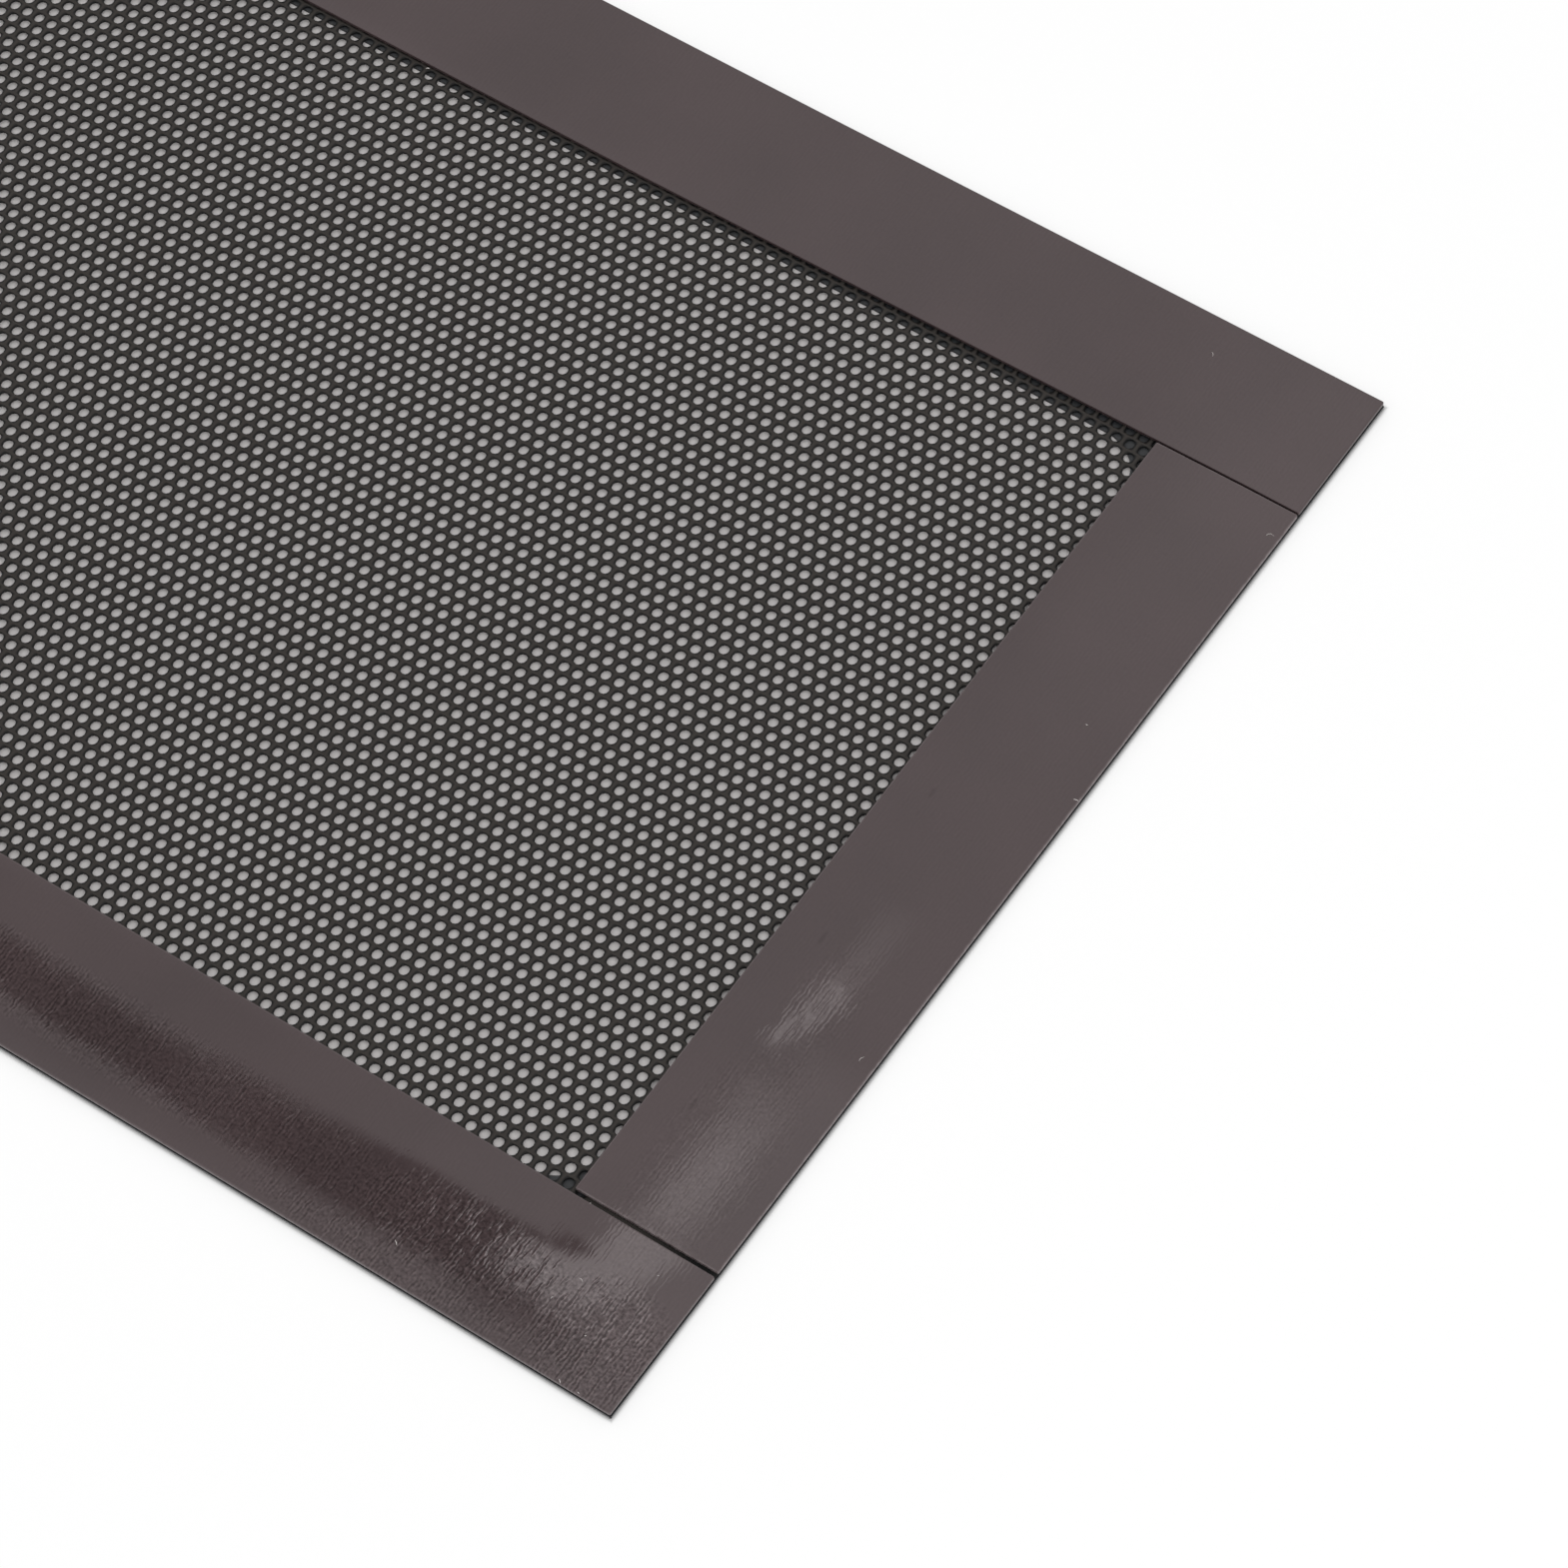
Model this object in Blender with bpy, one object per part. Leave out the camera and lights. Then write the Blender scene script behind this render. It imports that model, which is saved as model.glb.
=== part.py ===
"""Magnetic dust filter for computer fans: a perforated PVC film in a flat magnetic frame.

The filter is a flat sandwich. From below it holds a one-piece border sheet with a
round-cornered window, the perforated film that closes the window, and four strips of
flexible rubber magnet, each on its own self-adhesive tape. It lies with the magnets up.

Units are metres. The origin is at the middle of the underside. X runs along the filter,
Y across it from the near side (-Y) to the far side (+Y), and Z is up.
"""

import math

import bmesh
import bpy

MM = 0.001

# Outline of the filter, which is the outline of its border sheet.
LENGTH = 240.0 * MM
WIDTH = 120.0 * MM
OUTLINE_CORNER_RADIUS = 0.15 * MM

# Layers, from the bottom up, and the hair-thin bond line between each two of them.
BORDER_THICKNESS = 0.26 * MM
FILM_THICKNESS = 0.20 * MM
TAPE_THICKNESS = 0.06 * MM
MAGNET_THICKNESS = 0.42 * MM
BOND_LINE = 0.02 * MM

# Magnet strips. The long ones run the whole length, the short ones are cut to fit between.
LONG_STRIP_WIDTH = 14.9 * MM
SHORT_STRIP_WIDTH = 14.5 * MM
LONG_EDGE_SETBACK = 0.10 * MM
LONG_STRIP_END_SETBACK = 0.05 * MM
SHORT_EDGE_SETBACK = 0.25 * MM
FAR_JOINT_GAP = 0.20 * MM
NEAR_JOINT_GAP = 0.45 * MM
STRIP_CORNER_RADIUS = 0.15 * MM
STRIP_EDGE_BEVEL = 0.05 * MM
TAPE_SETBACK = 0.15 * MM

# The border sheet's window has round corners. It lines up with the strips' inner edges on
# three sides, and on the far side the sheet shows past the strip by a narrow lip.
WINDOW_CORNER_RADIUS = 4.6 * MM
FAR_LIP = 0.75 * MM

# The film is cut a little smaller than the border. Its fine holes stand in staggered rows
# along X.
FILM_SETBACK = 0.10 * MM
HOLE_PITCH = 1.436 * MM
ROW_SPACING = 1.300 * MM
HOLE_DIAMETER = 0.98 * MM

# A coarse grid of round openings stands for the holes, also in staggered rows. Each opening
# is as large as all the real holes in its cell of the window together.
OPENINGS_ACROSS = 16
OPENING_ROWS = 7
OPENING_SIDES = 16

# Straight steps in each quarter circle of a corner.
OUTLINE_CORNER_STEPS = 4
STRIP_CORNER_STEPS = 4
WINDOW_CORNER_STEPS = 10
BEVEL_SEGMENTS = 2

# Edges sharper than these angles stay sharp in the shading, and get the cut edge's bevel.
SHARP_EDGE_ANGLE = math.radians(35)
BEVELLED_EDGE_ANGLE = math.radians(40)

# A corner's radius may take at most this share of either side.
WIDEST_CORNER_SHARE = 0.49

# Colours are linear RGB.
RUBBER_MAGNET = {"colour": (0.060, 0.046, 0.045), "roughness": 0.34}
ACRYLIC_TAPE = {"colour": (0.016, 0.015, 0.015), "roughness": 0.30}
PERFORATED_PVC = {"colour": (0.040, 0.041, 0.039), "roughness": 0.48}
BORDER_PVC = {"colour": (0.022, 0.022, 0.022), "roughness": 0.55}

# Heights of each layer's underside.
BORDER_BOTTOM = 0.0
FILM_BOTTOM = BORDER_BOTTOM + BORDER_THICKNESS + BOND_LINE
TAPE_BOTTOM = FILM_BOTTOM + FILM_THICKNESS + BOND_LINE
MAGNET_BOTTOM = TAPE_BOTTOM + TAPE_THICKNESS + BOND_LINE

# Half sizes of the window, from the outline's middle to the strips' inner edges.
WINDOW_HALF_LENGTH = LENGTH / 2 - SHORT_EDGE_SETBACK - SHORT_STRIP_WIDTH
WINDOW_HALF_WIDTH = WIDTH / 2 - LONG_EDGE_SETBACK - LONG_STRIP_WIDTH


def clear_scene():
    """Removes every object that the scene starts with."""
    for obj in list(bpy.data.objects):
        bpy.data.objects.remove(obj, do_unlink=True)


def principled(name, finish):
    """A plain plastic or rubber material of the given colour and roughness."""
    material = bpy.data.materials.new(name)
    material.use_nodes = True
    shader = material.node_tree.nodes["Principled BSDF"]
    shader.inputs["Base Color"].default_value = (*finish["colour"], 1.0)
    shader.inputs["Roughness"].default_value = finish["roughness"]
    shader.inputs["Metallic"].default_value = 0.0
    return material


def rounded_rectangle(length, width, radius, steps):
    """Points round a rectangle about the origin, each corner a quarter circle of steps."""
    radius = min(radius, WIDEST_CORNER_SHARE * length, WIDEST_CORNER_SHARE * width)
    points = []
    for corner in range(4):
        start = corner * math.pi / 2
        side_x = 1 if corner in (0, 3) else -1
        side_y = 1 if corner in (0, 1) else -1
        centre_x = side_x * (length / 2 - radius)
        centre_y = side_y * (width / 2 - radius)
        for step in range(steps + 1):
            angle = start + step * math.pi / 2 / steps
            x = centre_x + radius * math.cos(angle)
            y = centre_y + radius * math.sin(angle)
            points.append((x, y))
    return points


def circle(centre_x, centre_y, radius, sides):
    """Points round a circle, half a step off the axes."""
    points = []
    for side in range(sides):
        angle = (side + 0.5) * 2 * math.pi / sides
        points.append((centre_x + radius * math.cos(angle), centre_y + radius * math.sin(angle)))
    return points


def add_loop(mesh, points):
    """Adds one closed loop of edges in the plane z = 0."""
    verts = [mesh.verts.new((x, y, 0.0)) for x, y in points]
    for first, second in zip(verts, verts[1:] + verts[:1]):
        mesh.edges.new((first, second))


def add_sheet(name, outline, windows, thickness, place, finish):
    """A flat sheet: the outline less its windows, filled and then extruded upwards."""
    mesh = bmesh.new()
    add_loop(mesh, outline)
    for window in windows:
        add_loop(mesh, window)
    bmesh.ops.triangle_fill(mesh, edges=mesh.edges[:], use_beauty=True)
    extruded = bmesh.ops.extrude_face_region(mesh, geom=mesh.faces[:])
    raised = [item for item in extruded["geom"] if isinstance(item, bmesh.types.BMVert)]
    bmesh.ops.translate(mesh, verts=raised, vec=(0.0, 0.0, thickness))
    bmesh.ops.recalc_face_normals(mesh, faces=mesh.faces[:])
    data = bpy.data.meshes.new(name)
    mesh.to_mesh(data)
    mesh.free()
    data.materials.append(principled(f"{name}_finish", finish))
    data.shade_smooth()
    data.set_sharp_from_angle(angle=SHARP_EDGE_ANGLE)
    obj = bpy.data.objects.new(name, data)
    obj.location = place
    bpy.context.scene.collection.objects.link(obj)
    return obj


def add_border():
    """The one-piece border sheet, the filter's front face."""
    outline = rounded_rectangle(LENGTH, WIDTH, OUTLINE_CORNER_RADIUS, OUTLINE_CORNER_STEPS)
    centred = rounded_rectangle(
        2 * WINDOW_HALF_LENGTH, 2 * WINDOW_HALF_WIDTH - FAR_LIP, WINDOW_CORNER_RADIUS, WINDOW_CORNER_STEPS
    )
    window = [(x, y - FAR_LIP / 2) for x, y in centred]
    place = (0.0, 0.0, BORDER_BOTTOM)
    return add_sheet("front_border", outline, [window], BORDER_THICKNESS, place, BORDER_PVC)


def film_openings():
    """Round openings on a grid that fills the window, every second row half a step aside."""
    pitch = 2 * WINDOW_HALF_LENGTH / OPENINGS_ACROSS
    row_spacing = 2 * WINDOW_HALF_WIDTH / OPENING_ROWS
    holes_in_cell = pitch * row_spacing / (HOLE_PITCH * ROW_SPACING)
    radius = math.sqrt(holes_in_cell) * HOLE_DIAMETER / 2
    openings = []
    for row in range(OPENING_ROWS):
        y = (row - (OPENING_ROWS - 1) / 2) * row_spacing
        count = OPENINGS_ACROSS - row % 2
        for column in range(count):
            x = (column - (count - 1) / 2) * pitch
            openings.append(circle(x, y, radius, OPENING_SIDES))
    return openings


def add_film():
    """The perforated film, clamped between the border sheet and the strips."""
    outline = rounded_rectangle(
        LENGTH - 2 * FILM_SETBACK, WIDTH - 2 * FILM_SETBACK, OUTLINE_CORNER_RADIUS, OUTLINE_CORNER_STEPS
    )
    place = (0.0, 0.0, FILM_BOTTOM)
    return add_sheet("perforated_film", outline, film_openings(), FILM_THICKNESS, place, PERFORATED_PVC)


def strip_places():
    """Where each strip lies, by side: the middle of its footprint, then its length and width."""
    long_y = WIDTH / 2 - LONG_EDGE_SETBACK - LONG_STRIP_WIDTH / 2
    short_x = LENGTH / 2 - SHORT_EDGE_SETBACK - SHORT_STRIP_WIDTH / 2
    short_low = -WINDOW_HALF_WIDTH + NEAR_JOINT_GAP
    short_high = WINDOW_HALF_WIDTH - FAR_JOINT_GAP
    short_y = (short_low + short_high) / 2
    long_size = (LENGTH - 2 * LONG_STRIP_END_SETBACK, LONG_STRIP_WIDTH)
    short_size = (SHORT_STRIP_WIDTH, short_high - short_low)
    return {
        "far": ((0.0, long_y), long_size),
        "near": ((0.0, -long_y), long_size),
        "right": ((short_x, short_y), short_size),
        "left": ((-short_x, short_y), short_size),
    }


def add_strip(side, middle, size):
    """One rubber magnet strip and the tape that holds it to the film."""
    tape = rounded_rectangle(
        size[0] - 2 * TAPE_SETBACK, size[1] - 2 * TAPE_SETBACK, STRIP_CORNER_RADIUS, STRIP_CORNER_STEPS
    )
    add_sheet(f"adhesive_tape_{side}", tape, [], TAPE_THICKNESS, (*middle, TAPE_BOTTOM), ACRYLIC_TAPE)
    outline = rounded_rectangle(size[0], size[1], STRIP_CORNER_RADIUS, STRIP_CORNER_STEPS)
    strip = add_sheet(
        f"magnet_strip_{side}", outline, [], MAGNET_THICKNESS, (*middle, MAGNET_BOTTOM), RUBBER_MAGNET
    )
    bevel = strip.modifiers.new("cut edges", "BEVEL")
    bevel.width = STRIP_EDGE_BEVEL
    bevel.segments = BEVEL_SEGMENTS
    bevel.limit_method = "ANGLE"
    bevel.angle_limit = BEVELLED_EDGE_ANGLE
    return strip


def main():
    """Builds the whole filter, from the bottom layer up."""
    clear_scene()
    add_border()
    add_film()
    for side, (middle, size) in strip_places().items():
        add_strip(side, middle, size)


main()
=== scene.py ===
# %% [markdown]
# # A magnetic dust filter for computer fans
#
# The real object is a sandwich about one millimetre thick. A perforated vinyl film closes
# the window of a thin border sheet, and four strips of flexible rubber magnet lie on top,
# glued down with tape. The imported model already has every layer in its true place. It
# could be rendered as it is, but its film has a few large openings in place of thousands
# of small holes, and its strips are perfectly flat. So this lesson keeps the border and
# gives it a finish, makes the film, the tapes and the strips anew in the same space, and
# lays a little lint on them.

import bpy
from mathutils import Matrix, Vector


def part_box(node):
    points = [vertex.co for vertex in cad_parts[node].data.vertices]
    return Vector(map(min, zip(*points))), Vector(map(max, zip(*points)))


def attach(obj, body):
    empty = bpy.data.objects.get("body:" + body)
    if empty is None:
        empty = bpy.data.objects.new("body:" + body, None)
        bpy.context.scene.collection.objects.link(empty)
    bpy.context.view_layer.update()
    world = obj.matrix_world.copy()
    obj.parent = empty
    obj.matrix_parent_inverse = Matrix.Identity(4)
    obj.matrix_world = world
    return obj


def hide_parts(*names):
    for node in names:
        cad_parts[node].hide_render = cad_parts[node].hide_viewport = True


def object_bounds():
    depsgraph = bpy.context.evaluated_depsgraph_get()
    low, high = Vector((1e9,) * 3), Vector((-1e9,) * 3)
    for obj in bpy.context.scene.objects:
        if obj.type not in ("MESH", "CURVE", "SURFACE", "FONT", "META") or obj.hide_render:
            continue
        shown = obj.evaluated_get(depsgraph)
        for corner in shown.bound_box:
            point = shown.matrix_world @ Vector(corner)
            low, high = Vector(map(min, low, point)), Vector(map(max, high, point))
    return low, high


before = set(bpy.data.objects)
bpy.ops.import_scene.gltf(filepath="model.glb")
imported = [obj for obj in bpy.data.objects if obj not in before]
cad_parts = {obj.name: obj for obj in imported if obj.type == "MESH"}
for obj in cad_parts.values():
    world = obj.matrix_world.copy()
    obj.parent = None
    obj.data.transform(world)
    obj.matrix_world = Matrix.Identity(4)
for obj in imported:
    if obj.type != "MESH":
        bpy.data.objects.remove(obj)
packed_low, packed_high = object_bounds()

# %% Other modules
import math

import bpy
import numpy as np
from mathutils import Quaternion, Vector

MM = 0.001

# %% [markdown]
# ## Three small helpers
#
# Colours are easiest to pick as sRGB hex values, but shaders want linear light, so one
# function turns the first into the second. A material is a tree of nodes, and one function
# adds any node: a value is written on its socket, and an output is linked to it. A mesh is
# worked out as whole numpy arrays, which stay fast with thousands of holes.


# %% Colours
def linear(hex_code):
    """sRGB hex to linear RGBA: c / 12.92 below 0.04045, else ((c + 0.055) / 1.055) to the power 2.4."""
    parts = np.array([int(hex_code[i : i + 2], 16) for i in (1, 3, 5)]) / 255
    light = np.where(parts <= 0.04045, parts / 12.92, ((parts + 0.055) / 1.055) ** 2.4)
    return (*(float(c) for c in light), 1.0)


print("mid grey #808080 is", [round(c, 3) for c in linear("#808080")], "in linear light")


# %% Nodes
def add_node(tree, kind, sockets=None, **settings):
    """Adds one node. Settings are its properties; each socket gets a value, or a link from an output."""
    new = tree.nodes.new(kind)
    for name, value in settings.items():
        setattr(new, name, value)
    for name, value in (sockets or {}).items():
        if isinstance(value, bpy.types.NodeSocket):
            tree.links.new(value, new.inputs[name])
        else:
            new.inputs[name].default_value = value
    return new


def new_material(name):
    """An empty material, its node tree, and its output node."""
    material = bpy.data.materials.new(name)
    material.use_nodes = True
    material.node_tree.nodes.clear()
    return material, material.node_tree, add_node(material.node_tree, "ShaderNodeOutputMaterial")


# %% Meshes
def piece_from_arrays(name, points, face_groups, material):
    """A mesh object at the origin. Each face group is an array with one row of vertex numbers a face."""
    sizes = np.concatenate([np.full(len(group), group.shape[1]) for group in face_groups])
    corners = np.concatenate([group.ravel() for group in face_groups])
    mesh = bpy.data.meshes.new(name)
    mesh.vertices.add(len(points))
    mesh.vertices.foreach_set("co", np.asarray(points, dtype=np.float32).ravel())
    mesh.loops.add(len(corners))
    mesh.loops.foreach_set("vertex_index", corners.astype(np.int32))
    mesh.polygons.add(len(sizes))
    mesh.polygons.foreach_set("loop_start", (np.cumsum(sizes) - sizes).astype(np.int32))
    mesh.polygons.foreach_set("loop_total", sizes.astype(np.int32))
    mesh.update(calc_edges=True)
    mesh.materials.append(material)
    piece = bpy.data.objects.new(name, mesh)
    bpy.context.scene.collection.objects.link(piece)
    return piece


def dress(piece, slot_name, *nodes):
    """The new piece rides on the filter and stands for the nodes. The slot name is not used."""
    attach(piece, "root")
    if nodes:
        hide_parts(*nodes)


# %% [markdown]
# ## The camera
#
# The filter lies flat and is seen from above its near right side through a long lens, so
# its edges hardly converge. Such a camera can be found from the rows of holes: they are an
# even lattice on the real film, and only one camera puts them where the picture has them.
# It stands about half a metre away, and is turned a little about its own line of sight.

# %% Camera
CAMERA_AT = Vector((273.865, -227.384, 455.551)) * MM
CAMERA_AIM = Vector((97.728, -2.490, 1.0)) * MM
CAMERA_ROLL = math.radians(-4.304)
LENS = 142.90
SENSOR = 36.0
CLIP_START = 10 * MM

camera = bpy.data.objects.new("camera", bpy.data.cameras.new("camera"))
camera.data.lens = LENS
camera.data.sensor_width = SENSOR
camera.data.clip_start = CLIP_START
camera.data.dof.use_dof = False
camera.rotation_mode = "QUATERNION"
camera.location = CAMERA_AT
sight = (CAMERA_AIM - CAMERA_AT).normalized()
camera.rotation_quaternion = Quaternion(sight, -CAMERA_ROLL) @ sight.to_track_quat("-Z", "Y")
bpy.context.scene.collection.objects.link(camera)
bpy.context.scene.camera = camera
bpy.context.scene.view_settings.view_transform = "Standard"
print("camera", round((CAMERA_AIM - CAMERA_AT).length, 3), "m from its aim")

# %% [markdown]
# ## Calendered rubber magnet
#
# Rubber magnet is a dark brown rubber packed with magnetic powder and rolled into sheet.
# The powder raises its refractive index above that of plain rubber, and the rolls leave a
# shine that mirrors the lamps, with fine striations across the strip. The striations could
# be modelled, but they are only about a micron deep, so a bump from a wave of even lines
# gives them at no cost. A little noise bends the lines and breaks them up. In a few spots
# the sheet slipped on the rolls: there the lines are deeper, in short dashes, and the shine
# is mottled. On the real strip the lines are 0.3 to 0.4 mm apart, and the upper value is
# used, because in the render a finer line would fall between the pixels.

# %% Spots on the strips
# Where the sheet slipped: middle x and y, half length and half width in millimetres, and strength.
SLIPS = [
    (100.5, -53.8, 10.0, 3.4, 1.0),
    (114.8, -55.2, 5.5, 5.0, 0.85),
    (66.0, -53.9, 36.0, 3.1, 0.40),
    (98.0, -58.3, 14.0, 1.5, 0.40),
    (113.4, -36.0, 4.2, 12.0, 0.07),
    (113.0, -19.0, 2.6, 6.0, 0.05),
]
# Faint scuffs from handling, in the same form.
SCUFFS = [
    (109.2, -13.4, 0.16, 0.7, 0.14),
    (109.2, -32.6, 0.16, 0.7, 0.14),
    (108.94, 3.76, 0.16, 0.6, 0.12),
]
# A spot is at full strength up to the first share of the way to its ellipse, and gone at the second.
SPOT_CORE, SPOT_RIM = 0.7, 1.3

calendered_rubber_magnet, tree, output = new_material("calendered_rubber_magnet")
place = add_node(tree, "ShaderNodeTexCoord").outputs["Object"]


def near_spots(rows):
    """The strongest of the spots at a place. With the offset from a spot's middle measured in its
    half length and half width, its strength falls evenly from SPOT_CORE to SPOT_RIM."""
    strongest = 0.0
    for x, y, half_length, half_width, strength in rows:
        offset = {0: place, 1: (x * MM, y * MM, 0.0)}
        offset = add_node(tree, "ShaderNodeVectorMath", offset, operation="SUBTRACT").outputs["Vector"]
        measure = {0: offset, 1: (1 / (half_length * MM), 1 / (half_width * MM), 0.0)}
        measured = add_node(tree, "ShaderNodeVectorMath", measure, operation="MULTIPLY").outputs["Vector"]
        away = add_node(tree, "ShaderNodeVectorMath", {0: measured}, operation="LENGTH").outputs["Value"]
        ends = {"From Min": SPOT_CORE, "From Max": SPOT_RIM, "To Min": strength, "To Max": 0.0}
        spot = add_node(tree, "ShaderNodeMapRange", {"Value": away, **ends}).outputs["Result"]
        pair = {0: strongest, 1: spot}
        strongest = add_node(tree, "ShaderNodeMath", pair, operation="MAXIMUM").outputs["Value"]
    return strongest


slip, scuff = near_spots(SLIPS), near_spots(SCUFFS)
print("spots where the sheet slipped:", len(SLIPS), "scuffs:", len(SCUFFS))

# %% Lines and dashes
STRIATION_SPACING, STRIATION_LENGTH = 0.38 * MM, 1.4 * MM
STRIATION_BEND, BEND_DETAIL = 3.4, 1.6
DASH_WIDTH, DASH_LENGTH = 0.45 * MM, 1.5 * MM
# A wave texture of scale 1 repeats after this length.
WAVE_PERIOD = math.pi / 10

# Even lines, bent by a little noise.
line_scale = (WAVE_PERIOD / STRIATION_SPACING, 1 / STRIATION_LENGTH, 1 / STRIATION_LENGTH)
line_place = add_node(tree, "ShaderNodeMapping", {"Vector": place, "Scale": line_scale}).outputs["Vector"]
waves = {"Vector": line_place, "Scale": 1.0}
waves.update({"Distortion": STRIATION_BEND, "Detail": 1.0, "Detail Scale": BEND_DETAIL})
lines = add_node(tree, "ShaderNodeTexWave", waves, bands_direction="X").outputs["Fac"]
# A second noise breaks them up into dashes.
dash_scale = (1 / DASH_WIDTH, 1 / DASH_LENGTH, 1 / DASH_LENGTH)
dash_place = add_node(tree, "ShaderNodeMapping", {"Vector": place, "Scale": dash_scale}).outputs["Vector"]
dashes = {"Vector": dash_place, "Scale": 1.0, "Detail": 0.0}
patches = add_node(tree, "ShaderNodeTexNoise", dashes).outputs["Fac"]
print("lines", STRIATION_SPACING / MM, "mm apart, dashes", DASH_LENGTH / MM, "mm long")

# %% Relief of the rolled face
STRIATION_DEPTH, DASH_DEPTH = 0.0012 * MM, 0.008 * MM
SHALLOWEST = 0.15
RIPPLE_SIZE, RIPPLE_DEPTH = 2.6 * MM, 0.0012 * MM
# The noise of the dashes stays near 0.5. Each use of it starts at the first value and is full at
# the second.
SHALLOW_RANGE = (0.36, 0.60)
SLIPPED_RANGE = (0.42, 0.62)

ends = {"From Min": SHALLOW_RANGE[0], "From Max": SHALLOW_RANGE[1], "To Min": SHALLOWEST}
shallow = add_node(tree, "ShaderNodeMapRange", {"Value": patches, **ends}).outputs["Result"]
ends = {"From Min": SLIPPED_RANGE[0], "From Max": SLIPPED_RANGE[1], "To Max": DASH_DEPTH / STRIATION_DEPTH}
deep = add_node(tree, "ShaderNodeMapRange", {"Value": patches, **ends}).outputs["Result"]
# The depth is shallow everywhere, plus deep times the spots where the sheet slipped.
terms = {0: slip, 1: deep, 2: shallow}
depth = add_node(tree, "ShaderNodeMath", terms, operation="MULTIPLY_ADD").outputs["Value"]
striations = add_node(tree, "ShaderNodeMath", {0: lines, 1: depth}, operation="MULTIPLY").outputs["Value"]
ripples = add_node(tree, "ShaderNodeTexNoise", {"Vector": place, "Scale": 1 / RIPPLE_SIZE}).outputs["Fac"]
rippled = add_node(tree, "ShaderNodeBump", {"Height": ripples, "Distance": RIPPLE_DEPTH}).outputs["Normal"]
relief = {"Height": striations, "Distance": STRIATION_DEPTH, "Normal": rippled}
normal = add_node(tree, "ShaderNodeBump", relief).outputs["Normal"]
print("striations", STRIATION_DEPTH / MM, "mm deep, and", DASH_DEPTH / MM, "mm where the sheet slipped")

# %% Shine of the rolled face
LINE_CONTRAST = 1.05
BROKEN_RANGE = (0.35, 0.65)
MOTTLE_SIZE, MOTTLE_CONTRAST = 0.30 * MM, 2.0
LEAST_CONTRAST = 0.05
LEAST_SHINE = 0.6

# The shine is 1, plus the figure times the contrast. The figure is the lines, brighter along
# their crests, plus a mottle of specks. The contrast is full only where the sheet slipped.
# Less the scuffs, it sets the specular level, and it scales the brown as a painted sheen.
ends = {"To Min": -0.5, "To Max": 0.5}
crests = add_node(tree, "ShaderNodeMapRange", {"Value": lines, **ends}).outputs["Result"]
ends = {"From Min": BROKEN_RANGE[0], "From Max": BROKEN_RANGE[1], "To Max": LINE_CONTRAST}
broken = add_node(tree, "ShaderNodeMapRange", {"Value": patches, **ends}).outputs["Result"]
mottle_scale = {"Vector": place, "Scale": 1 / MOTTLE_SIZE, "Detail": 1.0}
mottle = add_node(tree, "ShaderNodeTexNoise", mottle_scale).outputs["Fac"]
ends = {"To Min": -MOTTLE_CONTRAST / 2, "To Max": MOTTLE_CONTRAST / 2}
specks = add_node(tree, "ShaderNodeMapRange", {"Value": mottle, **ends}).outputs["Result"]
terms = {0: crests, 1: broken, 2: specks}
figure = add_node(tree, "ShaderNodeMath", terms, operation="MULTIPLY_ADD").outputs["Value"]
root = add_node(tree, "ShaderNodeMath", {0: slip}, operation="SQRT").outputs["Value"]
pair = {0: root, 1: LEAST_CONTRAST}
contrast = add_node(tree, "ShaderNodeMath", pair, operation="MAXIMUM").outputs["Value"]
terms = {0: figure, 1: contrast, 2: 1.0}
shine = add_node(tree, "ShaderNodeMath", terms, operation="MULTIPLY_ADD").outputs["Value"]
pair = {0: shine, 1: LEAST_SHINE}
kept_shine = add_node(tree, "ShaderNodeMath", pair, operation="MAXIMUM").outputs["Value"]
sheen_and_scuffs = add_node(tree, "ShaderNodeMath", {0: kept_shine, 1: scuff}, operation="SUBTRACT").outputs["Value"]
print("shine never below", LEAST_SHINE, "outside the scuffs")

# %% Brown rubber and its painted edge highlight
CLOUD_SIZE = 14 * MM
# A soft noise seldom leaves this range.
CLOUD_RANGE = (0.3, 0.7)
TEAR_SIZE = 0.8 * MM
TORN_RANGE = (0.35, 0.60)
LEAST_TORN = 0.35

cloud_scale = {"Vector": place, "Scale": 1 / CLOUD_SIZE, "Detail": 2.0}
clouds = add_node(tree, "ShaderNodeTexNoise", cloud_scale).outputs["Fac"]
brown = add_node(tree, "ShaderNodeValToRGB", {"Fac": clouds})
brown.color_ramp.elements[0].position = CLOUD_RANGE[0]
brown.color_ramp.elements[0].color = linear("#392e2f")
brown.color_ramp.elements[1].position = CLOUD_RANGE[1]
brown.color_ramp.elements[1].color = linear("#3f3334")
# Painted sheen: the brown is scaled by the shine, so its lines and specks are painted lighter and darker,
# and the scuffs darken it.
scaled = {0: brown.outputs["Color"], "Scale": sheen_and_scuffs}
brown_with_painted_sheen = add_node(tree, "ShaderNodeVectorMath", scaled, operation="SCALE").outputs["Vector"]
# Painted highlight: a ragged pale band along each strip's rim. Each slab's mesh says where it is.
painted_edge_highlight = add_node(tree, "ShaderNodeAttribute", attribute_name="painted_edge_highlight").outputs["Fac"]
tear_scale = {"Vector": place, "Scale": 1 / TEAR_SIZE, "Detail": 2.0}
tears = add_node(tree, "ShaderNodeTexNoise", tear_scale).outputs["Fac"]
ends = {"From Min": TORN_RANGE[0], "From Max": TORN_RANGE[1], "To Min": LEAST_TORN}
ragged = add_node(tree, "ShaderNodeMapRange", {"Value": tears, **ends}).outputs["Result"]
ragged_edge_highlight = add_node(tree, "ShaderNodeMath", {0: painted_edge_highlight, 1: ragged}, operation="MULTIPLY").outputs["Value"]
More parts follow.
